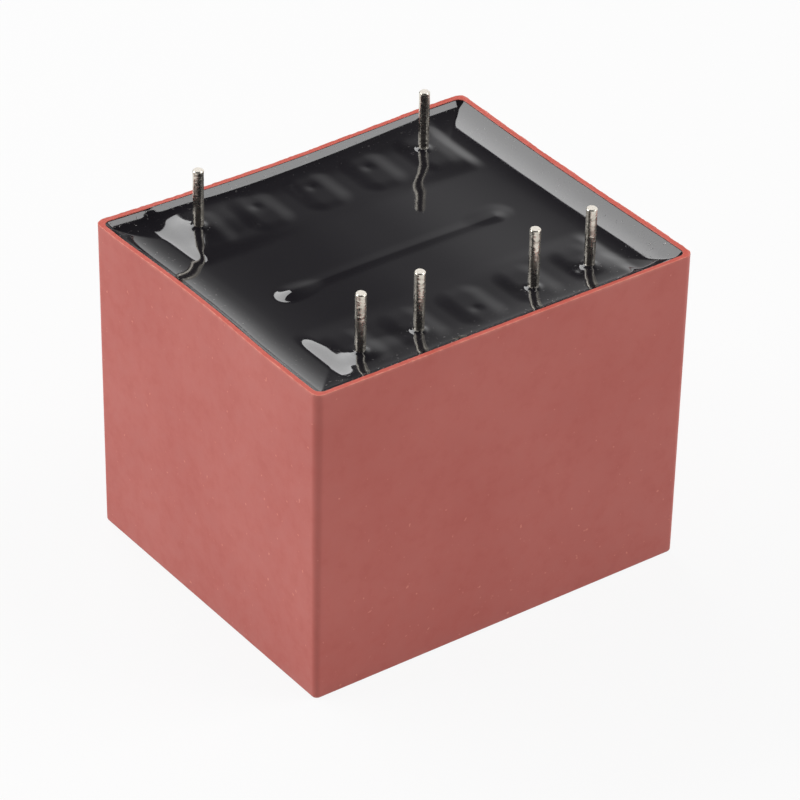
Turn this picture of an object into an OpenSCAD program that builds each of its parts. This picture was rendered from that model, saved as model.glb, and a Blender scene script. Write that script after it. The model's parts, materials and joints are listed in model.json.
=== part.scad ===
// A small potted mains transformer for a printed circuit board, standing on its
// closed face with the pins up. Z runs along the pins, X along the rows of pins.

/* [Core] */
// Width of the centre leg of each lamination
centre_leg_w = 10; // [9:0.5:12]
// Width of each outer leg
outer_leg_w = 5; // [4:0.5:6]
// Width of the yoke, and of the I that closes the E
yoke_w = 5; // [4.6:0.1:6]
// Width of each winding window
window_w = 5; // [4.6:0.1:6]
// Length of each winding window
window_l = 15; // [14.4:0.2:17]
// Thickness of one lamination
sheet_t = 0.48; // [0.3:0.01:0.5]
// Space that the varnish takes between laminations
varnish_gap = 0.02; // [0.01:0.01:0.05]
// Number of laminations in the stack
sheets = 31; // [21:1:40]
// Gap where an E meets its I
butt_gap = 0.02; // [0.01:0.01:0.1]

/* [Coil former] */
// Clearance between the former and the core
former_fit = 0.1; // [0.05:0.05:0.2]
// Wall of the former's tube
tube_wall = 0.7; // [0.5:0.05:0.9]
// Outside corner radius of the tube
tube_r = 0.5; // [0.3:0.1:0.7]
// Thickness of the end flanges
flange_t = 0.7; // [0.5:0.05:1]
// Thickness of the middle flange
middle_flange_t = 0.8; // [0.6:0.05:1.2]
// How far the middle flange stands off centre, towards the secondary side
middle_flange_shift = 0.6; // [0:0.1:1]
// Gap between a flange and the outer leg beside it
flange_gap = 0.2; // [0.1:0.05:0.4]
// Corner radius of the flanges
flange_r = 1; // [0.4:0.1:1.4]
// Height of the pin rails above the taped coil
rail_over_coil = 0.25; // [0.15:0.05:0.6]
// How far the middle flange rises above the pin rails
middle_flange_rise = 0.45; // [0.2:0.05:0.5]
// How far each pin rail runs past its last pin
rail_end = 2.3; // [1.8:0.1:2.6]
// Gap between a pin rail and the edge of the core below it
rail_setback = 0.4; // [0.2:0.1:0.8]
// Corner radius of the pin rails
rail_r = 0.8; // [0.4:0.1:1.2]
// Width of the raised seat round each pin
seat_w = 3; // [2.6:0.1:3.4]
// Height of that seat above its rail
seat_rise = 0.35; // [0.2:0.05:0.4]
// Gap between that seat and the end flange
seat_gap = 0.1; // [0.05:0.05:0.4]
// Gap between that seat and the outer edge of its rail
seat_setback = 0.4; // [0.2:0.05:0.6]
// Diameter of the pocket for the soldered wire
pocket_d = 2; // [1.9:0.1:2.2]
// Depth of that pocket
pocket_depth = 1.75; // [1.5:0.05:2]
// Plastic left under each pin hole
under_pin = 0.5; // [0.3:0.1:0.8]
// Clearance round a wire in its slot
slot_fit = 0.12; // [0.05:0.01:0.2]

/* [Coil] */
// Height of the wound copper on every side of the tube
coil_build = 2.6; // [2.2:0.05:2.8]
// Height of the inner secondary within that
inner_build = 1.25; // [1:0.05:1.4]
// Thickness of the insulation between the secondaries
interlayer_t = 0.08; // [0.05:0.01:0.12]
// Thickness of the tape over each coil
tape_t = 0.15; // [0.05:0.01:0.2]
// Space between the taped coil and the closed face
coil_under = 0.55; // [0.3:0.05:1]
// Diameter of a lead-out wire
lead_d = 0.3; // [0.2:0.01:0.32]
// Turns of the lead-out round its pin
wrap_turns = 3; // [2:1:4]
// Height of the solder above those turns
solder_rise = 0.45; // [0.2:0.05:0.6]
// How far in from the inner secondary's side the outer pins' lead-outs leave
outer_exit_in = 0.45; // [0.3:0.05:0.8]
// How far in from the inner secondary's side the inner pins' lead-outs leave
inner_exit_in = 2.65; // [2.2:0.05:3]

/* [Pins] */
// Spacing of the pins along a row
pin_pitch = 5; // [4.8:0.02:5.08]
// Distance between the two rows
row_gap = 20; // [19.6:0.1:20.32]
// Diameter of a pin's wire, bare where the resin covers it
wire_d = 0.72; // [0.6:0.01:0.78]
// Thickness of the tin on the free length of a pin
tin_t = 0.04; // [0.02:0.01:0.06]
// Length over which the tin fades out, under the resin
tin_fade = 0.75; // [0.6:0.05:0.9]
// Height of the pin tips above the rim
pin_reach = 4.1; // [3:0.1:6]
// Bevel at each pin tip
tip_bevel = 0.08; // [0.02:0.01:0.15]

/* [Case] */
// Gap between the core and the case, at the closed face
core_gap = 0.58; // [0.1:0.01:0.8]
// Wall of the case at the closed face
base_wall = 0.6; // [0.5:0.05:1.2]
// How much thinner the wall gets towards the mouth
wall_loss = 0.2; // [0.05:0.05:0.3]
// How much each side leans out from the closed face to the mouth
case_draft = 0.22; // [0.05:0.01:0.4]
// Thickness of the closed face
floor_t = 1; // [0.7:0.1:1.6]
// Radius of the edges round the closed face
base_edge_r = 0.25; // [0.1:0.05:0.6]
// Radius of the corners of the closed face, within those edges
base_corner_r = 0.2; // [0.02:0.01:1]
// Radius of the corner between the floor and the walls inside
floor_fillet_r = 0.15; // [0.05:0.05:0.4]
// Radius of the corners of the floor inside, within that fillet
floor_corner_r = 0.05; // [0.02:0.01:0.8]

/* [Resin] */
// Resin over the pin rails, between their seats
resin_cover = 0.55; // [0.5:0.05:0.8]
// Height of the rim above the level resin
rim_over_resin = 0.95; // [0.95:0.05:2]
// How far the resin climbs the walls
wall_climb = 0.88; // [0.4:0.02:0.88]
// How quickly that climb dies away from the wall
wall_climb_len = 0.75; // [0.4:0.05:0.8]
// How far the resin climbs each pin, from its seat
pin_climb = 0.12; // [0.05:0.01:0.2]
// How quickly that climb dies away from the pin
pin_climb_len = 0.12; // [0.06:0.01:0.15]
// Swelling of the resin over a pin rail
rail_swell = 0.12; // [0.05:0.01:0.2]
// Further swelling over each pin seat
seat_swell = 0.18; // [0.1:0.01:0.25]
// Height of the ridge over the middle flange
ridge_rise = 0.24; // [0.1:0.01:0.3]
// Depth of the sink over each empty pin hole
sink_depth = 0.14; // [0.05:0.01:0.15]

/* [Hidden] */
$fn = 48;
over = 1;             // how far a cut runs past the face that it opens
fillet_steps = 5;     // straight facets in a quarter fillet
climb_steps = 8;      // facets down a climb of resin
swell_steps = 3;      // facets down the side of a swelling

// The core: E laminations face +Y and -Y by turns, closed by I laminations
core_w = centre_leg_w + 2 * window_w + 2 * outer_leg_w;
core_d = window_l + 2 * yoke_w;
sheet_pitch = sheet_t + varnish_gap;
core_h = sheets * sheet_pitch - varnish_gap;

// Heights, from the closed face up
coil_height = tube_wall + coil_build + tape_t;
core_z = floor_t + coil_under + coil_height + former_fit;
core_top = core_z + core_h;
mid_z = core_z + core_h / 2;
rail_z = core_top + former_fit;
rail_top = rail_z + coil_height + rail_over_coil;
seat_top = rail_top + seat_rise;
pocket_z = seat_top - pocket_depth;
pin_foot_z = rail_z + under_pin;
resin_z = rail_top + resin_cover;
case_h = resin_z + rim_over_resin;
pin_top = case_h + pin_reach;
pin_d = wire_d + 2 * tin_t;
swollen_z = resin_z + rail_swell + seat_swell;
shank_z = swollen_z + pin_climb;

// The former: its tube, and where each chamber ends
bore_w = centre_leg_w + 2 * former_fit;
bore_h = core_h + 2 * former_fit;
flange_w = centre_leg_w + 2 * window_w - 2 * flange_gap;
flange_out = window_l / 2 - former_fit;
flange_in = flange_out - flange_t;
middle_y = -middle_flange_shift;
primary_from = middle_y + middle_flange_t / 2;
secondary_from = middle_y - middle_flange_t / 2;
rail_out = core_d / 2 - rail_setback;
seat_from = flange_in + seat_gap;
seat_to = rail_out - seat_setback;

// The pins: 1 to 5 along +Y, 6 to 10 back along -Y
row_y = row_gap / 2;
rail_w = 2 * (2 * pin_pitch + rail_end);
row_slots = [-2, -1, 0, 1, 2];
function slot_of(pin) = pin <= 5 ? pin - 3 : 8 - pin;
function side_of(pin) = pin <= 5 ? 1 : -1;
function pin_at(pin) = [slot_of(pin) * pin_pitch, side_of(pin) * row_y];
fitted = [1, 5, 6, 7, 9, 10];
empty = [2, 3, 4, 8];
inner_secondary_pins = [6, 7];

// The joint: the lead-out wrapped round the bare pin, under solder
wire_r = wire_d / 2;
joint_r = wire_r + lead_d;
wrap_h = wrap_turns * lead_d;
lead_z = pocket_z + 1.5 * lead_d;

// Where a lead-out leaves the coil: just under the top of its winding, at x
exit_drop = lead_d / 3;
exit_side = bore_w / 2 + tube_wall + inner_build;
function coil_top(x, height) =
    let (
        r = tube_r + height,
        past_flat = max(0, abs(x) - (bore_w / 2 + tube_wall + height - r))
    )
    mid_z + bore_h / 2 + tube_wall + height - r + sqrt(r * r - past_flat * past_flat);
function exit_in(pin) = abs(slot_of(pin)) == 2 ? outer_exit_in : inner_exit_in;
function exit_x(pin) = sign(slot_of(pin)) * (exit_side - exit_in(pin));
function winding_height(pin) = len(search(pin, inner_secondary_pins)) == 0 ? coil_build : inner_build;
function exit_z(pin) = coil_top(exit_x(pin), winding_height(pin)) - exit_drop - lead_d / 2;
function exit_at(pin) = [exit_x(pin), side_of(pin) * flange_in, exit_z(pin)];
function joint_at(pin) = [pin_at(pin)[0], pin_at(pin)[1], lead_z];

// The case: half sizes at the mouth, and what the sides lose below it
cavity_draft = case_draft + wall_loss;
cavity_x = core_w / 2 + core_gap + cavity_draft;
cavity_y = core_d / 2 + core_gap + cavity_draft;
mouth_wall = base_wall - wall_loss;
case_x = cavity_x + mouth_wall;
case_y = cavity_y + mouth_wall;
cavity_slope = cavity_draft / (case_h - floor_t - floor_fillet_r);
corner_r = base_corner_r + base_edge_r + case_draft;
inner_corner_r = floor_corner_r + floor_fillet_r + cavity_draft;

// The resin: how it climbs a wall or a pin, and how a swelling falls away
climb_reach = 3.6;    // in lengths of the climb, where it has died away
wall_reach = climb_reach * wall_climb_len;
air_corner_r = wall_reach + 0.1;
swell_slope = 1;
seat_slope = 0.9;
ridge_slope = 0.8;
ridge_side = 0.1;     // how far the ridge runs past each face of the flange
ridge_w = middle_flange_t + 2 * ridge_side;
ridge_end = 0.2;      // how far the ridge stops short of the flange's end
sink_r = 0.8;
function climb(step) = exp(-climb_reach * step / climb_steps);
function last_climb() = exp(-climb_reach);
function climb_share(step) = (climb(step) - last_climb()) / (1 - last_climb());
function swell_share(step) = (1 + cos(180 * step / swell_steps)) / 2;

// ---- Shared shapes ----

// A block with round upright corners. Its side is a profile of [inset, z] points from
// the bottom up, where inset is how far the side stands in from the half size.
module sided_block(half_x, half_y, corner, side) {
    low = side[0][1];
    high = side[len(side) - 1][1];
    module half_profile(reach) {
        polygon([[0, low], for (p = side) [max(0, reach - p[0]), p[1]], [0, high]]);
    }
    module slab(reach, half_len) {
        rotate([90, 0, 0])
            linear_extrude(2 * half_len, center = true) {
                half_profile(reach);
                mirror([1, 0]) half_profile(reach);
            }
    }
    slab(half_x, half_y - corner);
    rotate([0, 0, 90]) slab(half_y, half_x - corner);
    for (turn = [0, 90, 180, 270])
        translate([
            (turn == 0 || turn == 270 ? 1 : -1) * (half_x - corner),
            (turn < 180 ? 1 : -1) * (half_y - corner), 0
        ])
            rotate([0, 0, turn])
                rotate_extrude(angle = 90)
                    half_profile(corner);
}

// The points of a fillet between a level face at z and a side that leans by inset
function fillet(inset, z, r) =
    [for (i = [0:fillet_steps]) let (a = 90 * i / fillet_steps) [inset + r * (1 - sin(a)), z + r * (1 - cos(a))]];

module rounded_rect(w, h, r) {
    square([w - 2 * r, h], center = true);
    square([w, h - 2 * r], center = true);
    for (x = [-1, 1], z = [-1, 1])
        translate([x * (w / 2 - r), z * (h / 2 - r)]) circle(r);
}

// Extrudes an X-Z shape along Y, centred on the height of the coil
module along_y(from, to) {
    translate([0, to, mid_z])
        rotate([90, 0, 0])
            linear_extrude(to - from)
                children();
}

// One layer of the coil, between two heights above the tube
module coil_layer(from, to, low, high) {
    along_y(from, to)
        difference() {
            coil_outline(high);
            coil_outline(low);
        }
}

module coil_outline(height) {
    rounded_rect(bore_w + 2 * (tube_wall + height), bore_h + 2 * (tube_wall + height), tube_r + height);
}

module at_pin(pin) {
    translate([pin_at(pin)[0], pin_at(pin)[1], 0]) children();
}

// ---- Case ----

module case_cavity(top) {
    side = concat(
        fillet(cavity_draft, floor_t, floor_fillet_r),
        [[cavity_slope * (case_h - top), top]]
    );
    sided_block(cavity_x, cavity_y, inner_corner_r, side);
}

module case() {
    side = concat(fillet(case_draft, 0, base_edge_r), [[0, case_h]]);
    color("#a9544e")
        difference() {
            sided_block(case_x, case_y, corner_r, side);
            case_cavity(case_h + over);
        }
}

// ---- Core ----

module e_sheet() {
    difference() {
        translate([-core_w / 2, -window_l / 2]) square([core_w, window_l + yoke_w]);
        for (x = [-1, 1])
            translate([x * (centre_leg_w + window_w) / 2, -over / 2])
                square([window_w, window_l + over], center = true);
    }
}

module i_sheet() {
    translate([-core_w / 2, -core_d / 2]) square([core_w, yoke_w - butt_gap]);
}

module stack() {
    for (k = [0:sheets - 1])
        translate([0, 0, core_z + k * sheet_pitch])
            mirror([0, k % 2, 0])
                linear_extrude(sheet_t)
                    children();
}

module e_laminations() {
    color("#8d9196") stack() e_sheet();
}

module i_laminations() {
    color("#a3a7ab") stack() i_sheet();
}

module core_space() {
    translate([0, 0, core_z])
        linear_extrude(core_h)
            difference() {
                square([core_w, core_d], center = true);
                for (x = [-1, 1])
                    translate([x * (centre_leg_w + window_w) / 2, 0])
                        square([window_w, window_l], center = true);
            }
}

// ---- Coil former ----

module former_bore() {
    along_y(-window_l / 2, window_l / 2)
        square([bore_w, bore_h], center = true);
}

module flange(from, to, top) {
    translate([0, 0, (floor_t + top) / 2 - mid_z])
        along_y(from, to)
            rounded_rect(flange_w, top - floor_t, flange_r);
}

// One pin rail over the yoke, with five raised seats
module rail() {
    translate([0, (flange_in + rail_out) / 2, rail_z])
        linear_extrude(rail_top - rail_z)
            rounded_rect(rail_w, rail_out - flange_in, rail_r);
    for (slot = row_slots)
        translate([slot * pin_pitch, 0, rail_top])
            linear_extrude(seat_rise) {
                translate([0, seat_from + seat_w / 2]) circle(d = seat_w);
                translate([-seat_w / 2, seat_from + seat_w / 2])
                    square([seat_w, seat_to - seat_from - seat_w / 2]);
            }
}

// The slot that takes a lead-out from its chamber to its pocket
module lead_slot(pin) {
    from = exit_at(pin);
    to = joint_at(pin);
    run = [to[0] - from[0], to[1] - from[1]];
    w = lead_d + 2 * slot_fit;
    translate([from[0], from[1], min(from[2], to[2]) - w / 2])
        rotate([0, 0, atan2(run[1], run[0])])
            translate([-over / 2, -w / 2, 0])
                cube([norm(run) - joint_r + over / 2, w, seat_top + over]);
}

module coil_former() {
    color("#d8d2c0")
        difference() {
            union() {
                along_y(-flange_out, flange_out) coil_outline(0);
                flange(flange_in, flange_out, rail_top);
                flange(-flange_out, -flange_in, rail_top);
                flange(secondary_from, primary_from, rail_top + middle_flange_rise);
                rail();
                mirror([0, 1, 0]) rail();
            }
            former_bore();
            for (pin = [1:10])
                at_pin(pin) {
                    translate([0, 0, pocket_z]) cylinder(d = pocket_d, h = pocket_depth + over);
                    translate([0, 0, pin_foot_z]) cylinder(d = wire_d, h = seat_top - pin_foot_z);
                }
            for (pin = fitted) lead_slot(pin);
        }
}

// ---- Coil ----

module primary_winding() {
    color("#b5653a") coil_layer(primary_from, flange_in, 0, coil_build);
}

module primary_tape() {
    color("#d9c25a") coil_layer(primary_from, flange_in, coil_build, coil_build + tape_t);
}

module secondary_winding_inner() {
    color("#b5653a") coil_layer(-flange_in, secondary_from, 0, inner_build);
}

module secondary_interlayer() {
    color("#d9c25a") coil_layer(-flange_in, secondary_from, inner_build, inner_build + interlayer_t);
}

module secondary_winding_outer() {
    color("#b5653a")
        coil_layer(-flange_in, secondary_from, inner_build + interlayer_t, coil_build);
}

module secondary_tape() {
    color("#d9c25a") coil_layer(-flange_in, secondary_from, coil_build, coil_build + tape_t);
}

module taped_coil_space() {
    along_y(-flange_in, flange_in) coil_outline(coil_build + tape_t);
}

// ---- Pins, lead-outs and solder ----

module pin(number) {
    color("#c9c6bf")
        at_pin(number) {
            translate([0, 0, shank_z]) cylinder(d = pin_d, h = pin_top - tip_bevel - shank_z);
            translate([0, 0, pin_top - tip_bevel])
                cylinder(d1 = pin_d, d2 = pin_d - 2 * tip_bevel, h = tip_bevel);
            translate([0, 0, shank_z - tin_fade]) cylinder(d1 = wire_d, d2 = pin_d, h = tin_fade);
            translate([0, 0, pin_foot_z]) cylinder(d = wire_d, h = shank_z - tin_fade - pin_foot_z);
        }
}

// The lead-out's wire, from a little inside the coil to the middle of its joint
module lead_wire(number) {
    run = joint_at(number) - exit_at(number);
    translate(exit_at(number))
        rotate([0, acos(run[2] / norm(run)), atan2(run[1], run[0])])
            translate([0, 0, -lead_d])
                cylinder(d = lead_d, h = norm(run) + lead_d);
}

// Outline of the wrapped and soldered wire, from the pin's axis out
module joint_profile() {
    translate([0, pocket_z]) square([wire_r + lead_d / 2, wrap_h]);
    for (turn = [0:wrap_turns - 1])
        translate([wire_r + lead_d / 2, pocket_z + (turn + 0.5) * lead_d]) circle(d = lead_d);
    polygon([
        [0, pocket_z + wrap_h - lead_d / 2], [joint_r, pocket_z + wrap_h - lead_d / 2],
        [wire_r + lead_d / 4, pocket_z + wrap_h + solder_rise / 3],
        [wire_r, pocket_z + wrap_h + solder_rise], [0, pocket_z + wrap_h + solder_rise]
    ]);
}

module joint_space(number) {
    at_pin(number) rotate_extrude() joint_profile();
}

module lead_out(number) {
    color("#b5653a")
        difference() {
            lead_wire(number);
            joint_space(number);
            taped_coil_space();
        }
}

module solder_joint(number) {
    color("#b9bcc0")
        at_pin(number)
            rotate_extrude()
                difference() {
                    joint_profile();
                    translate([0, pocket_z - over]) square([wire_r, wrap_h + solder_rise + 2 * over]);
                }
}

// ---- Potting resin ----

// The air above the resin, which curves up to the walls
module air_over_resin() {
    contact_z = resin_z + wall_climb;
    wall_in = cavity_slope * (case_h - contact_z);
    side = concat(
        [for (i = [climb_steps:-1:0])
            [wall_in + wall_reach * i / climb_steps, resin_z + wall_climb * climb_share(i)]],
        [[-over, contact_z], [-over, case_h + over]]
    );
    sided_block(cavity_x, cavity_y, air_corner_r, side);
}

// A low swelling over a shape of w by d, whose sides fall away over slope, half of it inside
module swelling(w, d, rise, slope) {
    side = concat(
        [[0, resin_z - rise]],
        [for (i = [swell_steps:-1:0]) [slope * (1 - i / swell_steps), resin_z + rise * swell_share(i)]]
    );
    sided_block((w + slope) / 2, (d + slope) / 2, slope, side);
}

module rail_swelling() {
    translate([0, (flange_in + rail_out) / 2, 0])
        swelling(rail_w, rail_out - flange_in, rail_swell, swell_slope);
    for (slot = row_slots)
        translate([slot * pin_pitch, (seat_from + seat_to) / 2, 0])
            swelling(seat_w, seat_to - seat_from, rail_swell + seat_swell, seat_slope);
}

// The resin's climb round a pin, from the top of its seat's swelling
module pin_climb_ring(number) {
    reach = climb_reach * pin_climb_len;
    at_pin(number)
        rotate_extrude()
            polygon(concat(
                [[0, resin_z], [pin_d / 2 + reach, resin_z]],
                [for (i = [climb_steps:-2:0])
                    [pin_d / 2 + reach * i / climb_steps, swollen_z + pin_climb * climb_share(i)]],
                [[0, shank_z]]
            ));
}

// The sink over an empty pin hole
module sink(number) {
    at_pin(number)
        rotate_extrude()
            polygon(concat(
                [for (i = [0:swell_steps]) [sink_r * i / swell_steps, swollen_z - sink_depth * swell_share(i)]],
                [[sink_r, swollen_z + over], [0, swollen_z + over]]
            ));
}

module potting_resin() {
    color("#1c1a1f")
        difference() {
            union() {
                difference() {
                    case_cavity(case_h);
                    air_over_resin();
                }
                rail_swelling();
                mirror([0, 1, 0]) rail_swelling();
                translate([0, middle_y, 0])
                    swelling(flange_w - 2 * ridge_end, ridge_w, ridge_rise, ridge_slope);
                for (number = fitted) pin_climb_ring(number);
            }
            core_space();
            former_bore();
            taped_coil_space();
            coil_former();
            for (number = fitted) {
                lead_wire(number);
                joint_space(number);
                pin(number);
            }
            for (number = empty) sink(number);
        }
}

case();
potting_resin();
coil_former();
e_laminations();
i_laminations();
primary_winding();
primary_tape();
secondary_winding_inner();
secondary_interlayer();
secondary_winding_outer();
secondary_tape();
pin(1);  // pin_1
pin(5);  // pin_5
pin(6);  // pin_6
pin(7);  // pin_7
pin(9);  // pin_9
pin(10);  // pin_10
lead_out(1);  // lead_out_1
lead_out(5);  // lead_out_5
lead_out(6);  // lead_out_6
lead_out(7);  // lead_out_7
lead_out(9);  // lead_out_9
lead_out(10);  // lead_out_10
solder_joint(1);  // solder_joint_1
solder_joint(5);  // solder_joint_5
solder_joint(6);  // solder_joint_6
solder_joint(7);  // solder_joint_7
solder_joint(9);  // solder_joint_9
solder_joint(10);  // solder_joint_10
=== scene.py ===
import json
import math

import bmesh
import bpy
import numpy as np
from mathutils import Matrix, Vector


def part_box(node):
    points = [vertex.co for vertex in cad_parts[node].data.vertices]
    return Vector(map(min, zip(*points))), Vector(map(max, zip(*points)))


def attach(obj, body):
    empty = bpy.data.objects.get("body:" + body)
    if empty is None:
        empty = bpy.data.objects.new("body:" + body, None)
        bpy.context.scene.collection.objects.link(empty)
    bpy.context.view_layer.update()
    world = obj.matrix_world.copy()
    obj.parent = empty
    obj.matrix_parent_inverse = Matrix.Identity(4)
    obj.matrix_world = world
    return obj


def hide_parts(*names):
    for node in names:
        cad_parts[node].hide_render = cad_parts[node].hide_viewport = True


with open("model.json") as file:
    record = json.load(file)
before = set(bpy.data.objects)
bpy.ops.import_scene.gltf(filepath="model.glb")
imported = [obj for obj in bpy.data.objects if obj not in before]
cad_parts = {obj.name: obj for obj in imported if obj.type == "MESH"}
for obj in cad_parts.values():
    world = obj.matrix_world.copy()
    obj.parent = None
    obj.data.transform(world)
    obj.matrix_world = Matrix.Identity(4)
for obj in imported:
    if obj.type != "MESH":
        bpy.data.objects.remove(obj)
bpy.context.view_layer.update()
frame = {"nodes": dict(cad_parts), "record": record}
nodes = frame["nodes"]
mm = 0.001  # the sizes below are in millimetres


def nodeBox(name):  # lowest and highest corner of a solid, in millimetres
    low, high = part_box(name)
    return np.array(low) / mm, np.array(high) / mm


# The camera comes first: a long lens, turned to the corner of the block
cameraView = {
    "turn": -36.514,
    "rise": 33.441,
    "roll": -1.125,
    "distance": 337.77,
    "aside": -0.687,
    "below": -1.663,
    "aimHeight": 14.0,
    "lens": 208.8,
}


def placeCamera(view):
    turn, rise, roll = (math.radians(view[name]) for name in ("turn", "rise", "roll"))
    ahead = Vector((-math.sin(turn) * math.cos(rise), math.cos(turn) * math.cos(rise), -math.sin(rise)))
    levelRight = ahead.cross(Vector((0, 0, 1))).normalized()
    levelDown = ahead.cross(levelRight)
    right = math.cos(roll) * levelRight + math.sin(roll) * levelDown
    down = math.cos(roll) * levelDown - math.sin(roll) * levelRight
    aim = Vector((0, 0, view["aimHeight"]))
    eye = aim - right * view["aside"] - down * view["below"] - ahead * view["distance"]
    data = bpy.data.cameras.new("benchCamera")
    data.lens = view["lens"]
    data.sensor_width = 36
    data.clip_start, data.clip_end = 0.01, 20
    camera = bpy.data.objects.new("benchCamera", data)
    turned = Matrix((right, -down, -ahead)).transposed().to_4x4()
    turned.translation = eye * mm
    camera.matrix_world = turned
    bpy.context.scene.collection.objects.link(camera)
    bpy.context.scene.camera = camera


placeCamera(cameraView)
print("camera placed")


# Shader and geometry trees, written as sums
class Wire:
    def __init__(self, tree, socket):
        self.tree, self.socket = tree, socket

    def __add__(self, other):
        return self.tree.calc("ADD", self, other)

    def __radd__(self, other):
        return self.tree.calc("ADD", other, self)

    def __sub__(self, other):
        return self.tree.calc("SUBTRACT", self, other)

    def __rsub__(self, other):
        return self.tree.calc("SUBTRACT", other, self)

    def __mul__(self, other):
        return self.tree.calc("MULTIPLY", self, other)

    def __rmul__(self, other):
        return self.tree.calc("MULTIPLY", other, self)


class Tree:
    def __init__(self, nodeTree):
        self.nodeTree = nodeTree

    def add(self, kind, settings=None, sockets=None, out=0):
        node = self.nodeTree.nodes.new(kind)
        for name, value in (settings or {}).items():
            if name == "stops":
                self.setStops(node.color_ramp, value)
            else:
                setattr(node, name, value)
        for name, value in (sockets or {}).items():
            self.plug(self.socketOf(node.inputs, name), value)
        return Wire(self, self.socketOf(node.outputs, out)) if len(node.outputs) else None

    def socketOf(self, sockets, name):
        shown = [socket for socket in sockets if socket.enabled]
        if isinstance(name, int):
            return shown[name]
        return next(socket for socket in shown if socket.name == name)

    def plug(self, socket, value):
        if isinstance(value, Wire):
            self.nodeTree.links.new(value.socket, socket)
        else:
            socket.default_value = value

    def setStops(self, ramp, stops):
        while len(ramp.elements) < len(stops):
            ramp.elements.new(0.5)
        for element, (place, level) in zip(ramp.elements, stops):
            element.position = place
            element.color = (*level, 1) if isinstance(level, tuple) else (level, level, level, 1)

    def calc(self, kind, *values):
        return self.add("ShaderNodeMath", {"operation": kind}, dict(enumerate(values)))

    def step(self, value, low, high, start=0.0, end=1.0, smooth=True):
        kind = "SMOOTHSTEP" if smooth else "LINEAR"
        return self.add(
            "ShaderNodeMapRange", {"interpolation_type": kind},
            {"Value": value, "From Min": low, "From Max": high, "To Min": start, "To Max": end},
        )

    def ramp(self, value, stops):
        return self.add("ShaderNodeValToRGB", {"stops": stops}, {"Fac": value})

    def mixColour(self, share, first, second):
        return self.add("ShaderNodeMix", {"data_type": "RGBA"}, {"Factor": share, "A": first, "B": second})

    def noise(self, place, scale, detail, rough, stretch=None):
        if stretch:
            place = self.add("ShaderNodeMapping", None, {"Vector": place, "Scale": stretch})
        return self.add(
            "ShaderNodeTexNoise", None,
            {"Vector": place, "Scale": scale, "Detail": detail, "Roughness": rough},
        )

    def place(self):
        return self.add("ShaderNodeTexCoord", out="Object")


def ink(red, green, blue):  # screen colour, 0 to 255, as a linear colour
    def line(part):
        part /= 255
        return part / 12.92 if part <= 0.04045 else ((part + 0.055) / 1.055) ** 2.4
    return (line(red), line(green), line(blue), 1)


def newFinish(name):
    material = bpy.data.materials.new(name)
    material.use_nodes = True
    material.node_tree.nodes.clear()
    return material, Tree(material.node_tree)


def closeFinish(tree, sockets, bumps):  # bumps: height, distance, strength
    normal = None
    for height, distance, strength in bumps:
        wires = {"Height": height, "Distance": distance * mm, "Strength": strength}
        if normal:
            wires["Normal"] = normal
        normal = tree.add("ShaderNodeBump", None, wires)
    shader = tree.add("ShaderNodeBsdfPrincipled", None, {**sockets, "Normal": normal})
    tree.add("ShaderNodeOutputMaterial", None, {"Surface": shader})


# Finishes
casePlastic = {
    "body": ink(186, 92, 82),
    "pale": ink(196, 106, 96),
    "dark": ink(172, 80, 70),
    # the pale torn colour stands for torn flash, and on the rim's edges it also paints a highlight
    "torn": ink(246, 170, 150),
    "rim": ink(198, 76, 58),
    "roughness": 0.46,
    "cloudScale": 95,
    "mottleScale": 900,
    "grainScale": 5200,
    "speckScale": 2600,
}


def makeCasePlastic(look):
    material, tree = newFinish("caseplastic")
    place = tree.place()
    cloud = tree.noise(place, look["cloudScale"], 4, 0.55)
    mottle = tree.noise(place, look["mottleScale"], 3, 0.6)
    grain = tree.noise(place, look["grainScale"], 2, 0.6)
    speck = tree.noise(place, look["speckScale"], 1, 0.5)
    # the edge attribute pales the rim's edges towards the torn colour: partly torn flash and wear, partly a
    # painted highlight along the edges
    wornAndHighlit = tree.add("ShaderNodeAttribute", {"attribute_name": "wornEdge"}, out="Fac")
    colour = tree.mixColour(tree.step(cloud, 0.35, 0.68) * 0.45, look["body"], look["pale"])
    colour = tree.mixColour(tree.step(mottle, 0.5, 0.8) * 0.22, colour, look["dark"])
    colour = tree.mixColour(tree.step(speck, 0.72, 0.8) * 0.3, colour, look["torn"])
    rim = tree.add("ShaderNodeAttribute", {"attribute_name": "rimTop"}, out="Fac")
    colour = tree.mixColour(rim * 0.85, colour, look["rim"])
    colour = tree.mixColour(wornAndHighlit * tree.step(grain, 0.2, 0.6, 0.55, 1.0), colour, look["torn"])
    rough = tree.step(mottle, 0.3, 0.7, look["roughness"] - 0.05, look["roughness"] + 0.07) + wornAndHighlit * 0.2
    closeFinish(
        tree,
        {"Base Color": colour, "Roughness": rough, "IOR": 1.5},
        [(mottle, 0.02, 0.35), (grain, 0.006, 0.5)],
    )
    return material


resinGloss = {
    "body": ink(27, 25, 29),
    "dust": ink(190, 186, 184),
    "roughness": 0.045,
    "hazeScale": 240,
    "speckScale": 4200,
    "rippleScale": 160,
}


def makeResinGloss(look):
    material, tree = newFinish("blackresin")
    place = tree.place()
    haze = tree.noise(place, look["hazeScale"], 3, 0.5)
    fine = tree.noise(place, look["speckScale"], 2, 0.5)
    ripple = tree.noise(place, look["rippleScale"], 2, 0.4)
    dusty = tree.add("ShaderNodeAttribute", {"attribute_name": "dusty"}, out="Fac")
    speck = tree.step(fine, 0.66, 0.72) * dusty
    colour = tree.mixColour(speck, look["body"], look["dust"])
    rough = tree.step(haze, 0.35, 0.7, look["roughness"], look["roughness"] + 0.03)
    rough = rough + speck * 0.4 + dusty * 0.03
    closeFinish(
        tree,
        {"Base Color": colour, "Roughness": rough, "IOR": 1.5},
        [(ripple, 0.02, 0.12), (speck, 0.02, 0.5)],
    )
    return material


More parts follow.
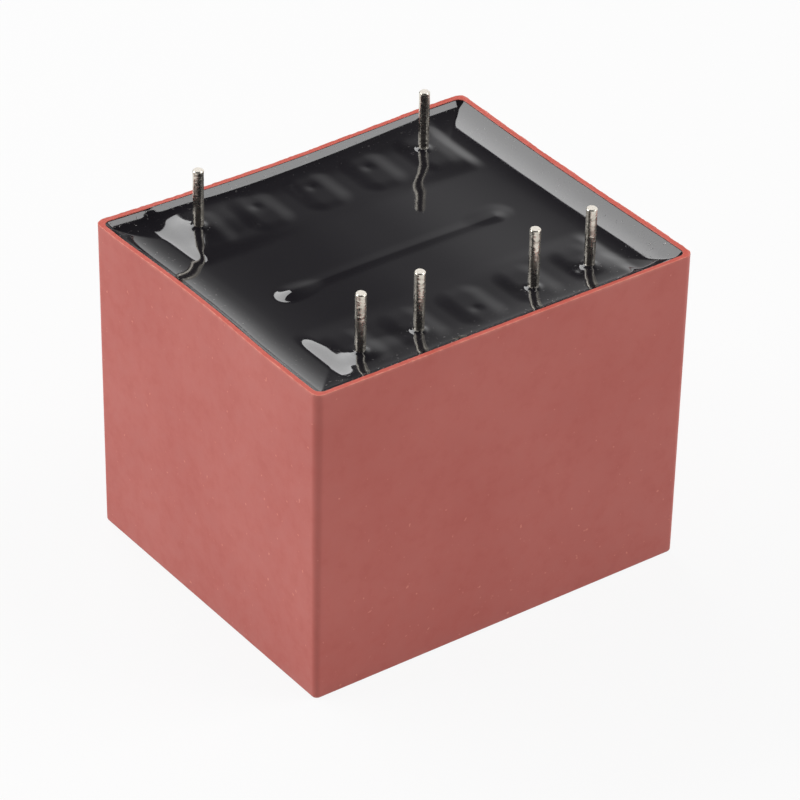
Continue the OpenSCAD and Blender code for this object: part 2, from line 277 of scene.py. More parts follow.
tinFinish = {
    "bright": ink(222, 216, 204),
    "dull": ink(156, 150, 140),
    "end": ink(226, 220, 210),
    "crust": ink(236, 232, 224),
    "roughness": 0.22,
    "endFrom": 29.955,
    "endOver": 0.015,
    "crustTo": 25.62,
    "crustOver": 0.5,
    "drawnScale": 2600,
    "pitScale": 5200,
    "cloudScale": 1300,
    "raggedScale": 6800,
}


def makeTinFinish(look):
    material, tree = newFinish("tinnedwire")
    place = tree.place()
    height = tree.add("ShaderNodeSeparateXYZ", None, {"Vector": place}, "Z")
    drawn = tree.noise(place, look["drawnScale"], 2, 0.5, stretch=(1, 1, 0.04))
    pits = tree.noise(place, look["pitScale"], 3, 0.6)
    cloud = tree.noise(place, look["cloudScale"], 3, 0.6)
    ragged = tree.noise(place, look["raggedScale"], 3, 0.7)
    pitted = tree.step(pits, 0.58, 0.72)
    end = tree.step(height, look["endFrom"] * mm, (look["endFrom"] + look["endOver"]) * mm)
    low = tree.step(height, (look["crustTo"] - look["crustOver"]) * mm, look["crustTo"] * mm, 1.0, 0.0)
    crust = tree.step(ragged + low * 0.42, 0.78, 0.86)
    dull = tree.step(cloud, 0.35, 0.7) * 0.5 + pitted * 0.35
    colour = tree.mixColour(dull, look["bright"], look["dull"])
    colour = tree.mixColour(end, colour, look["end"])
    colour = tree.mixColour(crust, colour, look["crust"])
    rough = look["roughness"] + tree.step(cloud, 0.3, 0.7) * 0.1 + pitted * 0.15
    rough = rough + end * 0.35 + crust * 0.4
    closeFinish(
        tree,
        {"Base Color": colour, "Roughness": rough, "Metallic": 1.0 - tree.calc("MAXIMUM", end * 0.7, crust)},
        [(drawn, 0.012, 0.4), (pits, 0.02, 0.35)],
    )
    return material


solderFinish = {"bright": ink(196, 198, 200), "dull": ink(132, 134, 138), "cloudScale": 1800}


def makeSolderFinish(look):
    material, tree = newFinish("solder")
    place = tree.place()
    cloud = tree.noise(place, look["cloudScale"], 3, 0.5)
    colour = tree.mixColour(tree.step(cloud, 0.35, 0.7), look["bright"], look["dull"])
    closeFinish(
        tree,
        {"Base Color": colour, "Roughness": tree.step(cloud, 0.3, 0.7, 0.22, 0.42), "Metallic": 1.0},
        [(cloud, 0.03, 0.4)],
    )
    return material


formerPlastic = {
    "body": ink(214, 205, 182),
    "shade": ink(186, 174, 146),
    "cloudScale": 140,
    "fibreScale": 1500,
}


def makeFormerPlastic(look):
    material, tree = newFinish("formerplastic")
    place = tree.place()
    cloud = tree.noise(place, look["cloudScale"], 4, 0.5)
    fibre = tree.noise(place, look["fibreScale"], 3, 0.6, stretch=(1, 0.25, 1))
    colour = tree.mixColour(tree.step(cloud, 0.3, 0.75) * 0.7, look["body"], look["shade"])
    closeFinish(
        tree,
        {"Base Color": colour, "Roughness": tree.step(fibre, 0.3, 0.7, 0.42, 0.6)},
        [(fibre, 0.02, 0.3)],
    )
    return material


coreSteel = {
    "cut": ink(148, 150, 154),
    "varnish": ink(88, 78, 66),
    "rust": ink(120, 78, 48),
    "streakScale": 700,
    "cloudScale": 120,
}


def makeCoreSteel(look):
    material, tree = newFinish("coresteel")
    place = tree.place()
    streak = tree.noise(place, look["streakScale"], 3, 0.6, stretch=(1, 1, 12))
    cloud = tree.noise(place, look["cloudScale"], 4, 0.6)
    bare = tree.step(streak, 0.42, 0.6)
    colour = tree.mixColour(bare, look["varnish"], look["cut"])
    colour = tree.mixColour(tree.step(cloud, 0.66, 0.78) * 0.5, colour, look["rust"])
    closeFinish(
        tree,
        {"Base Color": colour, "Roughness": 0.5 - bare * 0.16, "Metallic": bare * 0.8},
        [(streak, 0.02, 0.3)],
    )
    return material


copperWire = {
    "enamel": ink(176, 84, 38),
    "shade": ink(96, 38, 16),
    "pitch": 0.12,  # from one turn to the next
    "cloudScale": 420,
}


def makeCopperWire(look):
    material, tree = newFinish("copperwire")
    place = tree.place()
    along = tree.add("ShaderNodeSeparateXYZ", None, {"Vector": place}, "Y")
    wave = tree.calc("SINE", along * (2 * math.pi / (look["pitch"] * mm)))
    crown = tree.step(wave, -1.0, 0.6)
    cloud = tree.noise(place, look["cloudScale"], 3, 0.5)
    # painted shade: the wire is coloured darker in the grooves between its turns and lighter on their crowns
    colour = tree.mixColour(crown, look["shade"], look["enamel"])
    colour = tree.mixColour(tree.step(cloud, 0.4, 0.75) * 0.35, colour, look["shade"])
    closeFinish(
        tree,
        {"Base Color": colour, "Roughness": tree.step(cloud, 0.3, 0.7, 0.26, 0.4), "Metallic": 0.75},
        [(crown, 0.03, 0.6)],
    )
    return material


windingTape = {
    "body": ink(226, 178, 52),
    "shade": ink(196, 142, 30),
    "cloudScale": 180,
    "creaseScale": 700,
}


def makeWindingTape(look):
    material, tree = newFinish("windingtape")
    place = tree.place()
    cloud = tree.noise(place, look["cloudScale"], 3, 0.5)
    crease = tree.noise(place, look["creaseScale"], 3, 0.6, stretch=(0.2, 1, 0.2))
    colour = tree.mixColour(tree.step(cloud, 0.3, 0.7), look["body"], look["shade"])
    closeFinish(
        tree,
        {"Base Color": colour, "Roughness": tree.step(crease, 0.3, 0.7, 0.24, 0.42)},
        [(crease, 0.02, 0.3)],
    )
    return material


slotFinish = {
    "case_plastic": makeCasePlastic(casePlastic),
    "resin": makeResinGloss(resinGloss),
    "tinned_wire": makeTinFinish(tinFinish),
    "solder": makeSolderFinish(solderFinish),
    "former_plastic": makeFormerPlastic(formerPlastic),
    "core_steel": makeCoreSteel(coreSteel),
    "copper_wire": makeCopperWire(copperWire),
    "winding_tape": makeWindingTape(windingTape),
}
for part in frame["record"]["subparts"]:
    solid = nodes[part["node"]]
    solid.data.materials.clear()
    solid.data.materials.append(slotFinish[part["material_slot"]])
print("finishes made and put on the solids")


# Meshes
def addPiece(name, vertices, faces, slot):
    mesh = bpy.data.meshes.new(name)
    mesh.from_pydata([tuple(float(v) * mm for v in point) for point in vertices], [], faces)
    mesh.validate()
    mesh.shade_smooth()
    piece = bpy.data.objects.new(name, mesh)
    bpy.context.scene.collection.objects.link(piece)
    mesh.materials.append(slotFinish[slot])
    return piece


def settle(piece, slot, *replaced):
    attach(piece, "root")
    if replaced:
        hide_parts(*replaced)


def setField(piece, name, values):
    field = piece.data.attributes.new(name, "FLOAT", "POINT")
    field.data.foreach_set("value", np.asarray(values, dtype=np.float32))


def hashed(index, seed):  # a fixed random number from 0 to 1 for each whole number
    mixed = (index.astype(np.int64) * 374761393 + seed * 668265263) & 0x7FFFFFFF
    mixed = ((mixed ^ (mixed >> 13)) * 1274126177) & 0x7FFFFFFF
    return ((mixed ^ (mixed >> 16)) & 0xFFFF) / 65535.0


def wander(along, length, seed):  # smooth noise from -1 to 1 along a line
    place = along / length
    low = np.floor(place)
    share = place - low
    share = share * share * (3 - 2 * share)
    first, second = hashed(low, seed), hashed(low + 1, seed)
    return 2 * (first + (second - first) * share) - 1


def loop(halfX, halfY, corner, perX, perY, perCorner):  # round a rectangle with round corners
    flatX, flatY = halfX - corner, halfY - corner
    points = []
    for side in range(4):
        quarter = side * math.pi / 2
        middle = [(flatX, flatY), (-flatX, flatY), (-flatX, -flatY), (flatX, -flatY)][side]
        for step in range(perCorner):
            angle = quarter + math.pi / 2 * step / perCorner
            points.append((middle[0] + corner * math.cos(angle), middle[1] + corner * math.sin(angle)))
        after = [(-flatX, flatY), (-flatX, -flatY), (flatX, -flatY), (flatX, flatY)][side]
        angle = quarter + math.pi / 2
        start = (middle[0] + corner * math.cos(angle), middle[1] + corner * math.sin(angle))
        stop = (after[0] + corner * math.cos(angle), after[1] + corner * math.sin(angle))
        count = perX if side % 2 == 0 else perY
        for step in range(count):
            share = step / count
            points.append((start[0] + (stop[0] - start[0]) * share, start[1] + (stop[1] - start[1]) * share))
    return np.array(points)


# The moulded case, with the torn lip round its mouth
caseShape = {
    "corner": 0.67,
    "innerCorner": 0.62,
    "mouthWall": 0.4,
    "draft": 0.22,
    "cavityDraft": 0.42,
    "floor": 1.0,
    "baseEdge": 0.25,
    "floorFillet": 0.15,
    "sharpest": 0.05,
    "filletSteps": 5,
    "edgeSteps": 6,
    "innerHeights": (6.0, 12.0, 18.0, 22.0, 24.0, 24.8, 25.2, 25.5, 25.7, 25.79, 25.84, 25.865),
    "rimShares": (0.985, 0.96, 0.9, 0.78, 0.62, 0.46, 0.32, 0.2, 0.13, 0.09),  # of the wall, from outside
    "lipShares": (0.06, 0.035),
    "outerHeights": (25.845, 25.81, 25.76, 25.7, 25.6, 25.4, 25.0, 24.0, 21.0, 16.0, 11.0, 6.0, 3.0, 1.2),
    "lip": 0.055,
    "lipLength": 0.28,
    "lipInset": 0.008,
    "lipDrop": 0.012,
    "lipOut": 0.02,
    "grit": 0.012,
    "rimWave": 0.012,
    "innerDrop": 0.02,
    # from this height up, the outer face is paled: partly wear, partly a painted edge highlight
    "wornFrom": 25.55,
    "farWear": 0.45,
    "bows": {  # side: how far the wall leans in at the mouth, where most, and how far along it that reaches
        "+X": (0.18, 2.0, 13.0),
        "-X": (0.25, 1.5, 9.5),
        "+Y": (0.44, -2.5, 15.0),
        "-Y": (0.04, 0.0, 12.0),
    },
    "counts": (240, 200, 16),
}
caseLow, caseHigh = nodeBox("case")
caseTop = caseHigh[2]


def cavityInset(z):
    run = caseTop - caseShape["floor"] - caseShape["floorFillet"]
    return caseShape["cavityDraft"] * (caseTop - z) / run


def leanIn(x, y, z):  # thin walls sag inwards between their corners, most at the mouth
    rise = np.clip(z / caseTop, 0, 1) ** 2
    for side, (depth, middle, reach) in caseShape["bows"].items():
        sign = 1 if side[0] == "+" else -1
        out, along = (x, y) if side[1] == "X" else (y, x)
        share = np.clip(1 - ((along - middle) / reach) ** 2, 0, 1) ** 1.5
        near = np.clip((out * sign - 9.8) / 3.4, 0, 1)
        moved = sign * depth * share * rise * near * near
        if side[1] == "X":
            x = x - moved
        else:
            y = y - moved
    return x, y


def caseRows(shape):  # inset, z and kind, from the cavity's floor over the rim and down to the closed face
    wall, fillet, edge = shape["mouthWall"], shape["floorFillet"], shape["baseEdge"]
    rows = []
    for step in range(shape["filletSteps"] + 1):
        angle = math.pi / 2 * step / shape["filletSteps"]
        inset = shape["cavityDraft"] + fillet * (1 - math.sin(angle))
        rows.append((wall + inset, shape["floor"] + fillet * (1 - math.cos(angle)), "in"))
    rows += [(wall + cavityInset(z), z, "in") for z in shape["innerHeights"]]
    rows += [(wall * share, caseTop, "rim") for share in shape["rimShares"]]
    rows += [(wall * share, caseTop, "lip") for share in shape["lipShares"]]
    rows.append((shape["lipInset"], caseTop - shape["lipDrop"], "lip"))
    rows += [(shape["draft"] * (1 - z / caseTop), z, "out") for z in shape["outerHeights"]]
    for step in range(shape["edgeSteps"] + 1):
        angle = math.pi / 2 * (1 - step / shape["edgeSteps"])
        inset = shape["draft"] + edge * (1 - math.sin(angle))
        rows.append((inset, edge * (1 - math.cos(angle)), "out"))
    return rows


def makeCase(shape):
    halfX, halfY, wall = caseHigh[0], caseHigh[1], shape["mouthWall"]
    counts = shape["counts"]
    outline = loop(halfX, halfY, shape["corner"], *counts)
    along = np.cumsum(np.linalg.norm(outline - np.roll(outline, 1, axis=0), axis=1))
    torn = 0.5 + 0.5 * (0.6 * wander(along, shape["lipLength"], 3) + 0.4 * wander(along, 1.7, 5))
    torn = np.clip(torn, 0, 1) ** 1.4
    grit = wander(along, 0.16, 7)
    wave = wander(along, 3.1, 11) * 0.6 + wander(along, 0.7, 12) * 0.4
    inner = 0.5 + 0.5 * wander(along, 0.5, 13)
    rows = caseRows(shape)
    points, wearAndHighlight, top = [], [], []
    for inset, z, kind in rows:
        if kind == "in":
            corner = max(shape["sharpest"], shape["innerCorner"] - (inset - wall))
        elif kind == "out":
            corner = max(shape["sharpest"], shape["corner"] - inset)
        else:
            share = inset / wall
            corner = shape["corner"] * (1 - share) + shape["innerCorner"] * share
        ring = loop(halfX - inset, halfY - inset, corner, *counts)
        height = np.full(len(ring), z)
        wornAndHighlit = np.zeros(len(ring))
        outward = ring / np.linalg.norm(ring, axis=1, keepdims=True)
        if kind == "rim":
            height += shape["rimWave"] * (wave + 0.5 * wander(along + inset * 7, 0.23, 17))
            # the rim's inner edge gets a small drop and a painted light line
            if inset > wall * 0.93:
                height -= shape["innerDrop"] * inner
                wornAndHighlit += 0.55 * inner
            # the rim's outer rows and the lip are paled: partly torn flash, partly a painted highlight along
            # the edge
            if inset < wall * 0.22:
                height += shape["lip"] * 0.45 * torn
                wornAndHighlit += 0.35 * torn
        if kind == "lip":
            height += shape["lip"] * torn + shape["grit"] * grit
            ring = ring + outward * (shape["lipOut"] * torn + 0.008 * grit)[:, None]
            wornAndHighlit += 0.35 + 0.65 * torn
        if kind == "out" and z > shape["wornFrom"]:
            fade = (z - shape["wornFrom"]) / (caseTop - shape["wornFrom"])
            ring = ring + outward * (fade * (0.012 * torn + 0.004 * grit))[:, None]
            wornAndHighlit += 0.5 * fade ** 2 * torn
        # the paling is full on the near side and weaker elsewhere, because the painted edge highlight is
        # brightest on the near side
        highlitNearSide = np.where((ring[:, 0] + ring[:, 1] * 1.2) < -1.0, 1.0, shape["farWear"])
        x, y = leanIn(ring[:, 0], ring[:, 1], height)
        points.append(np.column_stack([x, y, height]))
        wearAndHighlight.append(np.clip(wornAndHighlit * highlitNearSide, 0, 1))
        top.append(np.full(len(ring), 1.0 if kind in ("rim", "lip") else 0.0))
    count = len(outline)
    faces = [tuple(range(count))]
    for base in range(0, (len(rows) - 1) * count, count):
        for i in range(count):
            j = (i + 1) % count
            faces.append((base + i, base + count + i, base + count + j, base + j))
    last = (len(rows) - 1) * count
    faces.append(tuple(last + i for i in reversed(range(count))))
    piece = addPiece("mouldedcase", np.concatenate(points), faces, "case_plastic")
    setField(piece, "wornEdge", np.concatenate(wearAndHighlight))
    setField(piece, "rimTop", np.concatenate(top))
    return piece


mouldedCase = makeCase(caseShape)
settle(mouldedCase, "case_plastic", "case")
print("case made", len(mouldedCase.data.polygons))


# The poured resin
pinNames = [part["node"] for part in frame["record"]["subparts"] if part["node"].startswith("pin_")]
pinAt = {name: (nodeBox(name)[0][:2] + nodeBox(name)[1][:2]) / 2 for name in pinNames}
resinShape = {
    "level": 24.93,
    "cut": 24.88,
    "wallClimb": 0.88,
    "wallLength": 0.95,
    "pinClimb": 0.12,
    "pinLength": 0.12,
    "pinRadius": 0.4,
    "pitch": 5.0,
    "rowHalf": 10.0,
    "railHalf": 12.2,
    "railEnd": 1.6,
    "railRise": 0.15,
    "railIn": (6.3, 2.6),    # where the rail's inner side is, and how wide its slope
    "railOut": (12.4, 1.8),
    "dome": (6.5, 11.0, 0.13),
    "seat": (1.35, 7.3, 11.5, 0.055, 1.8),  # half width, from, to, rise, slope
    "seatCorner": 0.9,
    "sink": (0.03, 0.42),
    "ridge": (-9.6, 9.0, -0.62, 0.3, 0.075, 1.7),  # x from, x to, y, half width, rise, slope
    "mounds": (  # x, y, reach to -X, +X, -Y and +Y, rise
        (-9.6, 10.4, 3.2, 6.0, 3.0, 2.8, 0.20),
        (-9.8, -10.3, 2.3, 4.5, 1.3, 1.5, 0.12),
        (10.2, -10.1, 2.1, 3.0, 1.6, 1.8, 0.10),
        (-9.4, -0.85, 1.5, 3.0, 1.2, 1.4, 0.12),
        (9.0, -0.3, 3.0, 1.6, 1.2, 1.6, 0.05),
    ),
    "grid": (0.035, 0.125, 1.6),  # spacing at the walls, further in, and over what length it grows
    "dustReach": 0.9,
    "dustElsewhere": 0.25,
    "pinDust": (0.6, 0.45, 0.35),  # strength, radius it starts from, reach
}


def boxDistance(x, y, cx, cy, halfX, halfY, corner):  # below zero inside
    dx = np.abs(x - cx) - halfX + corner
    dy = np.abs(y - cy) - halfY + corner
    outside = np.hypot(np.maximum(dx, 0), np.maximum(dy, 0))
    return outside + np.minimum(np.maximum(dx, dy), 0) - corner


def falloff(distance, width):  # 1 well inside, 0 outside
    share = np.clip(0.5 - distance / width, 0, 1)
    return share * share * share * (share * (share * 6 - 15) + 10)


def mound(x, y, atX, atY, left, right, below, above, rise):
    across = (x - atX) / np.where(x < atX, left, right)
    along = (y - atY) / np.where(y < atY, below, above)
    share = np.clip(1 - across ** 2 - along ** 2, 0, 1)
    return rise * share * share


def resinHeight(x, y, shape, wallGap):
    z = np.full(x.shape, shape["level"])
    angle = np.arctan2(y * 1.2, x) * 16
    climb = shape["wallClimb"] * (1 + 0.02 * wander(angle + 60, 2.3, 21))
    z += climb * np.exp(-np.maximum(wallGap, 0) / shape["wallLength"])
    rail = shape["railRise"] * falloff(np.abs(x) - shape["railHalf"], shape["railEnd"])
    rail *= 0.55 + 0.45 * falloff(np.abs(y) - shape["railOut"][0], shape["railOut"][1])
    domeAt, domeWidth, domeRise = shape["dome"]
    dome = domeRise * falloff(np.abs(x) - domeAt, domeWidth)
    z += dome + (rail - dome) * falloff(shape["railIn"][0] - np.abs(y), shape["railIn"][1])
    seatHalf, seatFrom, seatTo, seatRise, seatWidth = shape["seat"]
    depth, radius = shape["sink"]
    for side in (-1, 1):
        for place in range(-2, 3):
            here = np.array([place * shape["pitch"], side * shape["rowHalf"]])
            middle, half = side * (seatFrom + seatTo) / 2, (seatTo - seatFrom) / 2
            gap = boxDistance(x, y, here[0], middle, seatHalf, half, shape["seatCorner"])
            z += seatRise * falloff(gap, seatWidth)
            away = np.hypot(x - here[0], y - here[1])
            if any(np.hypot(*(at - here)) < 0.5 for at in pinAt.values()):
                z += shape["pinClimb"] * np.exp(-np.maximum(away - shape["pinRadius"], 0) / shape["pinLength"])
            else:
                z -= depth * np.exp(-((away / radius) ** 2))
    fromX, toX, ridgeY, halfWidth, rise, width = shape["ridge"]
    gap = boxDistance(x, y, (fromX + toX) / 2, ridgeY, (toX - fromX) / 2, halfWidth, halfWidth)
    z += rise * falloff(gap, width)
    for item in shape["mounds"]:
        z += mound(x, y, *item)
    return z


def gradedLine(half, fine, coarse, reach):  # from -half to half, closest near the ends
    steps, at = [0.0], 0.0
    while at < half:
        at += fine + (coarse - fine) * min(at / reach, 1)
        steps.append(at)
    steps = np.array(steps) * half / steps[-1]
    return np.concatenate([-half + steps, (half - steps[:-1])[::-1]])


def roundCorners(x, y, halfX, halfY, corner):  # bends the corner squares of a grid into quarter rounds
    inX, inY = np.abs(x) - (halfX - corner), np.abs(y) - (halfY - corner)
    both = (inX > 0) & (inY > 0)
    u, v = np.where(both, inX / corner, 0), np.where(both, inY / corner, 0)
    bentX = np.where(both, (halfX - corner + corner * u * np.sqrt(1 - v * v / 2)) * np.sign(x), x)
    bentY = np.where(both, (halfY - corner + corner * v * np.sqrt(1 - u * u / 2)) * np.sign(y), y)
    return bentX, bentY


def cutBody(level):  # what lies below the level of the CAD's resin, closed there with a flat face
    body = bmesh.new()
    body.from_mesh(nodes["potting_resin"].data)
    bmesh.ops.remove_doubles(body, verts=body.verts, dist=1e-7)
    cut = bmesh.ops.bisect_plane(
        body, geom=body.verts[:] + body.edges[:] + body.faces[:], dist=1e-8,
        plane_co=(0, 0, level * mm), plane_no=(0, 0, 1), clear_outer=True,
    )
    rimEdges = [item for item in cut["geom_cut"] if isinstance(item, bmesh.types.BMEdge)]
    bmesh.ops.triangle_fill(body, edges=rimEdges, use_beauty=True, normal=(0, 0, 1))
    for face in body.faces:
        face.smooth = False
    print("resin body edges left open:", sum(len(edge.link_faces) != 2 for edge in body.edges))
    mesh = bpy.data.meshes.new("resinbody")
    body.to_mesh(mesh)
    body.free()
    return mesh


def makeResin(shape):
    contact = shape["level"] + shape["wallClimb"]
    inset = caseShape["mouthWall"] + cavityInset(contact) + 0.001
    halfX, halfY = caseHigh[0] - inset, caseHigh[1] - inset
    corner = caseShape["innerCorner"]
    lineX, lineY = gradedLine(halfX, *shape["grid"]), gradedLine(halfY, *shape["grid"])
    x, y = np.meshgrid(lineX, lineY, indexing="ij")
    x, y = roundCorners(x, y, halfX, halfY, corner)
    gap = -boxDistance(x, y, 0, 0, halfX, halfY, corner)
    z = resinHeight(x, y, shape, gap)
    nearWalls = (y < -11) | (x < -13.5) | ((x > 12) & (y < -9))
    dusty = np.exp(-gap / shape["dustReach"]) * np.where(nearWalls, 1.0, shape["dustElsewhere"])
    strength, radius, reach = shape["pinDust"]
    for at in pinAt.values():
        away = np.maximum(np.hypot(x - at[0], y - at[1]) - radius, 0)
        dusty = np.maximum(dusty, strength * np.exp(-away / reach))
    x, y = leanIn(x, y, z)
    across, down = x.shape
    index = np.arange(across * down).reshape(across, down)
    points = [np.column_stack([x.ravel(), y.ravel(), z.ravel()])]
    faces = [
        (int(index[i, j]), int(index[i + 1, j]), int(index[i + 1, j + 1]), int(index[i, j + 1]))
        for i in range(across - 1)
        for j in range(down - 1)
    ]
    edge = np.concatenate([index[:-1, 0], index[-1, :-1], index[1:, -1][::-1], index[0, 1:][::-1]])
    total = across * down
    lower = points[0][edge].copy()
    lower[:, :2] *= 1 - 0.016 / halfX
    lower[:, 2] = shape["cut"]
    points.append(lower)
    count = len(edge)
    for i in range(count):
        j = (i + 1) % count
        faces.append((int(edge[j]), int(edge[i]), total + i, total + j))
    faces.append(tuple(total + i for i in reversed(range(count))))
    piece = addPiece("pouredresin", np.concatenate(points), faces, "resin")
    lowerBody = cutBody(shape["cut"])
    joined = bmesh.new()
    joined.from_mesh(piece.data)
    joined.from_mesh(lowerBody)
    joined.to_mesh(piece.data)
    joined.free()
    bpy.data.meshes.remove(lowerBody)
    setField(piece, "dusty", np.concatenate([
        dusty.ravel(), np.zeros(len(piece.data.vertices) - dusty.size),
    ]))
    return piece


pouredResin = makeResin(resinShape)
settle(pouredResin, "resin", "potting_resin")
print("resin made", len(pouredResin.data.polygons))


# Geometry Nodes
def newGrowth(name, inputs):
    group = bpy.data.node_groups.new(name, "GeometryNodeTree")
    group.interface.new_socket("Geometry", in_out="INPUT", socket_type="NodeSocketGeometry")
    for label, kind in inputs.items():
        group.interface.new_socket(label, in_out="INPUT", socket_type="NodeSocket" + kind)
    group.interface.new_socket("Geometry", in_out="OUTPUT", socket_type="NodeSocketGeometry")
    tree = Tree(group)
    entry = group.nodes.new("NodeGroupInput")
    wires = {socket.name: Wire(tree, socket) for socket in entry.outputs if socket.name}
    return group, tree, wires


def closeGrowth(tree, shape, material):
    whole = tree.add("GeometryNodeRealizeInstances", None, {"Geometry": shape})
    painted = tree.add("GeometryNodeSetMaterial", None, {"Geometry": whole, "Material": material})
    tree.add("NodeGroupOutput", None, {0: painted})


def grow(name, group, values):  # runs a tree and keeps its result as a plain mesh
    carrier = bpy.data.objects.new(name + "host", bpy.data.meshes.new(name + "host"))
    bpy.context.scene.collection.objects.link(carrier)
    modifier = carrier.modifiers.new(name, "NODES")
    modifier.node_group = group
    for item in group.interface.items_tree:
        if item.item_type == "SOCKET" and item.in_out == "INPUT" and item.name in values:
            modifier[item.identifier] = values[item.name]
    ready = carrier.evaluated_get(bpy.context.evaluated_depsgraph_get())
    made = bpy.data.meshes.new_from_object(ready)
    made.name = name
    carrier.modifiers.clear()
    bpy.data.objects.remove(carrier)
    piece = bpy.data.objects.new(name, made)
    bpy.context.scene.collection.objects.link(piece)
    return piece


pinShape = {
    "sides": 48,
    "rings": 300,
    "wire": 0.36,
    "tin": 0.4,
    "foot": 21.18,
    "fadeFrom": 24.6,
    "shank": 25.35,
    "tip": 29.98,
    "bevel": 0.08,
    "collar": 0.035,
    "collarTop": 25.75,
    "pit": 0.012,
    "pitScale": 3200.0,
    "dent": 0.010,
    "dentScale": 700.0,
    "dentSeed": 7.0,  # sets the dents' pattern apart from the pits'
}


def pinTree(shape):
    group, tree, wires = newGrowth("solderpin", {
        "Foot": "Vector",
        "Tip": "Vector",
        "Collar": "Float",
        "Pit Depth": "Float",
        "Seed": "Float",
        "Finish": "Material",
    })
    line = tree.add(
        "GeometryNodeCurvePrimitiveLine", {"mode": "POINTS"}, {"Start": wires["Foot"], "End": wires["Tip"]},
    )
    line = tree.add("GeometryNodeResampleCurve", None, {"Curve": line, "Count": shape["rings"]})
    height = tree.add("ShaderNodeSeparateXYZ", None, {"Vector": tree.add("GeometryNodeInputPosition")}, "Z")
    tinned = tree.step(height, shape["fadeFrom"] * mm, shape["shank"] * mm, smooth=False)
    radius = (tinned * (shape["tin"] - shape["wire"]) + shape["wire"]) * mm
    bevel, tip = shape["bevel"] * mm, shape["tip"] * mm
    bevelled = tree.step(height, tip - bevel, tip, 0.0, bevel, smooth=False)
    ring = tree.add("GeometryNodeCurvePrimitiveCircle", None, {"Resolution": shape["sides"], "Radius": 1.0})
    tube = tree.add(
        "GeometryNodeCurveToMesh", None,
        {"Curve": line, "Profile Curve": ring, "Scale": radius - bevelled, "Fill Caps": True},
    )
    tube = tree.add("GeometryNodeFlipFaces", None, {"Mesh": tube})
    place = tree.add("GeometryNodeInputPosition")
    pits = tree.add(
        "ShaderNodeTexNoise", {"noise_dimensions": "4D"},
        {"Vector": place, "W": wires["Seed"], "Scale": shape["pitScale"], "Detail": 2.0, "Roughness": 0.5},
    )
    dents = tree.add(
        "ShaderNodeTexNoise", {"noise_dimensions": "4D"},
        {
            "Vector": place, "W": wires["Seed"] + shape["dentSeed"],
            "Scale": shape["dentScale"], "Detail": 1.0, "Roughness": 0.4,
        },
    )
    level = tree.add("ShaderNodeSeparateXYZ", None, {"Vector": place}, "Z")
    free = tree.step(level, shape["shank"] * mm, (shape["shank"] + 0.1) * mm)
    deep = tree.step(pits, 0.42, 0.7) * wires["Pit Depth"] * -1.0 + (dents - 0.5) * shape["dent"]
    crust = tree.step(level, shape["shank"] * mm, shape["collarTop"] * mm, 1.0, 0.0)
    crust = crust * tree.step(pits, 0.35, 0.6) * wires["Collar"]
    offset = tree.add(
        "ShaderNodeVectorMath", {"operation": "SCALE"},
        {"Vector": tree.add("GeometryNodeInputNormal"), "Scale": (deep + crust) * free * mm},
    )
    tube = tree.add("GeometryNodeSetPosition", None, {"Geometry": tube, "Offset": offset})
    tube = tree.add("GeometryNodeSetShadeSmooth", None, {"Geometry": tube})
    closeGrowth(tree, tube, wires["Finish"])
    return group


def growPins(shape):
    group = pinTree(shape)
    for seed, (name, at) in enumerate(pinAt.items()):
        pin = grow("solder" + name.replace("_", ""), group, {
            "Foot": tuple(float(v) * mm for v in (*at, shape["foot"])),
            "Tip": tuple(float(v) * mm for v in (*at, shape["tip"])),
            "Collar": shape["collar"],
            "Pit Depth": shape["pit"],
            "Seed": seed * 3.7,
            "Finish": slotFinish["tinned_wire"],
        })
        settle(pin, "tinned_wire", name)
        print("pin grown", pin.name, len(pin.data.polygons))


growPins(pinShape)


# Floor, lamps and world
stageLook = {
    "floor": (0.7, 0.7, 0.7, 1),
    "floorFibre": (0.8, 0.8, 0.8, 1),
    "fibreScale": 900,
    "whiteShare": 0.9,
    "fill": 0.22,
    "gloss": 1.3,
    "turned": [  # the studio's brightness as gloss sees it, along X and then along Z
        (0.0, 0.08), (0.42, 0.10), (0.47, 0.14), (0.4965, 0.20), (0.5525, 0.48), (0.59, 0.70), (0.65, 1.0),
    ],
    "raised": [(0.0, 1.0), (0.45, 0.88), (0.551, 0.77), (0.60, 0.5), (0.65, 0.35), (0.8, 0.31)],
}
lamps = {  # where each lamp stands, what it faces, its width and height in metres, its brightness
    "backPanel": ((-0.05, 0.50, 0.47), (0, 0, 0.025), 0.72, 0.24, 5.2),
    "topPanel": ((0.36, -0.22, 0.55), (0, 0, 0.025), 0.30, 0.30, 6.0),
    "leftPanel": ((-0.33, 0.19, 0.15), (-0.01, 0, 0.012), 0.24, 0.24, 4.6),
    "rightPanel": ((0.24, -0.40, 0.16), (0, -0.01, 0.012), 0.24, 0.24, 2.4),
}


def lookedAt(tree):  # whether gloss or glass looks this way, and whether the camera does
    path = tree.nodeTree.nodes.new("ShaderNodeLightPath")
    names = ("Is Glossy Ray", "Is Transmission Ray", "Is Camera Ray")
    glossy, through, direct = (Wire(tree, path.outputs[name]) for name in names)
    return glossy + through, direct


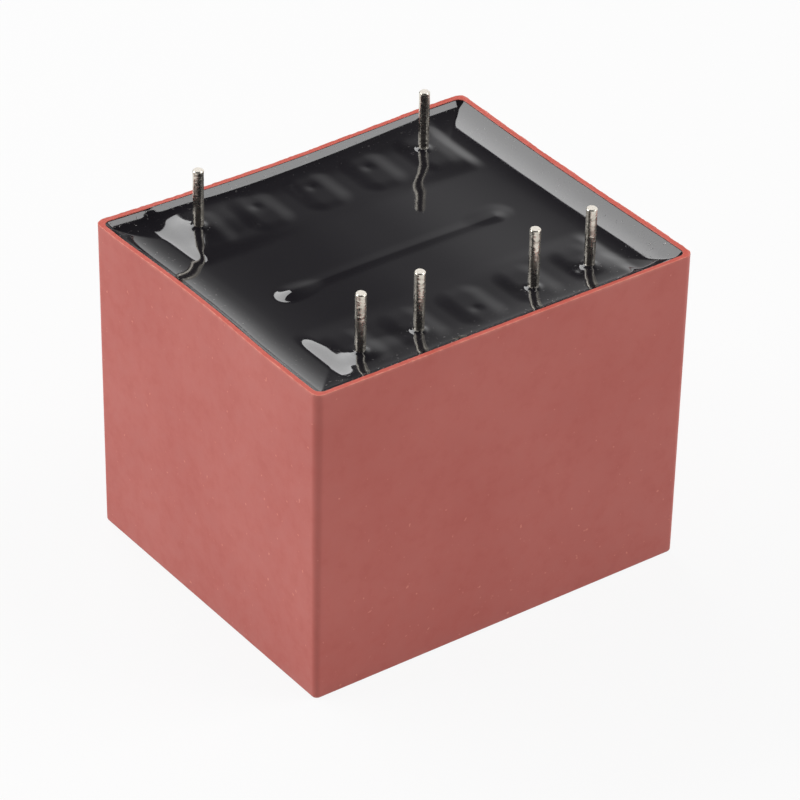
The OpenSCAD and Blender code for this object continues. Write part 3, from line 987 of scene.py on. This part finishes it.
def makeStage(look):
    bpy.ops.mesh.primitive_plane_add(size=4, location=(0, 0, 0))
    floor = bpy.context.active_object
    floor.name = "paleFloor"
    material, tree = newFinish("palefloor")
    place = tree.place()
    fibre = tree.noise(place, look["fibreScale"], 3, 0.5)
    tone = tree.mixColour(tree.step(fibre, 0.3, 0.7) * 0.05, look["floor"], look["floorFibre"])
    lit = tree.add("ShaderNodeBsdfDiffuse", None, {"Color": tone})
    white = tree.add("ShaderNodeEmission", None, {"Color": (1, 1, 1, 1), "Strength": 1.0})
    bounced, direct = lookedAt(tree)
    share = tree.calc("MINIMUM", direct + bounced, 1.0) * look["whiteShare"]
    shown = tree.add("ShaderNodeMixShader", None, {0: share, 1: lit, 2: white})
    tree.add("ShaderNodeOutputMaterial", None, {"Surface": shown})
    floor.data.materials.append(material)


def makeLamps(panels):
    for name, (place, aim, width, height, level) in panels.items():
        data = bpy.data.lights.new(name, "AREA")
        data.shape = "RECTANGLE"
        data.size, data.size_y = width, height
        data.energy = level * math.pi * width * height
        lamp = bpy.data.objects.new(name, data)
        lamp.location = place
        lamp.rotation_mode = "QUATERNION"
        lamp.rotation_quaternion = (Vector(aim) - Vector(place)).to_track_quat("-Z", "Y")
        bpy.context.scene.collection.objects.link(lamp)


def makeWorld(look):
    world = bpy.data.worlds.new("studio")
    world.use_nodes = True
    bpy.context.scene.world = world
    world.node_tree.nodes.clear()
    tree = Tree(world.node_tree)
    way = tree.add("ShaderNodeTexCoord", out="Generated")
    turned = tree.add("ShaderNodeSeparateXYZ", None, {"Vector": way}, "X")
    raised = tree.add("ShaderNodeSeparateXYZ", None, {"Vector": way}, "Z")
    wall = tree.ramp(turned, look["turned"]) * tree.ramp(raised, look["raised"]) * look["gloss"]
    bounced, direct = lookedAt(tree)
    bare = tree.mixColour(tree.calc("MINIMUM", bounced, 1.0), (look["fill"],) * 3 + (1,), wall)
    colour = tree.mixColour(direct, bare, (1, 1, 1, 1))
    light = tree.add("ShaderNodeBackground", None, {"Color": colour, "Strength": 1.0})
    tree.add("ShaderNodeOutputWorld", None, {"Surface": light})


makeStage(stageLook)
makeLamps(lamps)
makeWorld(stageLook)
scene = bpy.context.scene
scene.view_settings.view_transform = "Standard"
print("stage, lamps and world made")
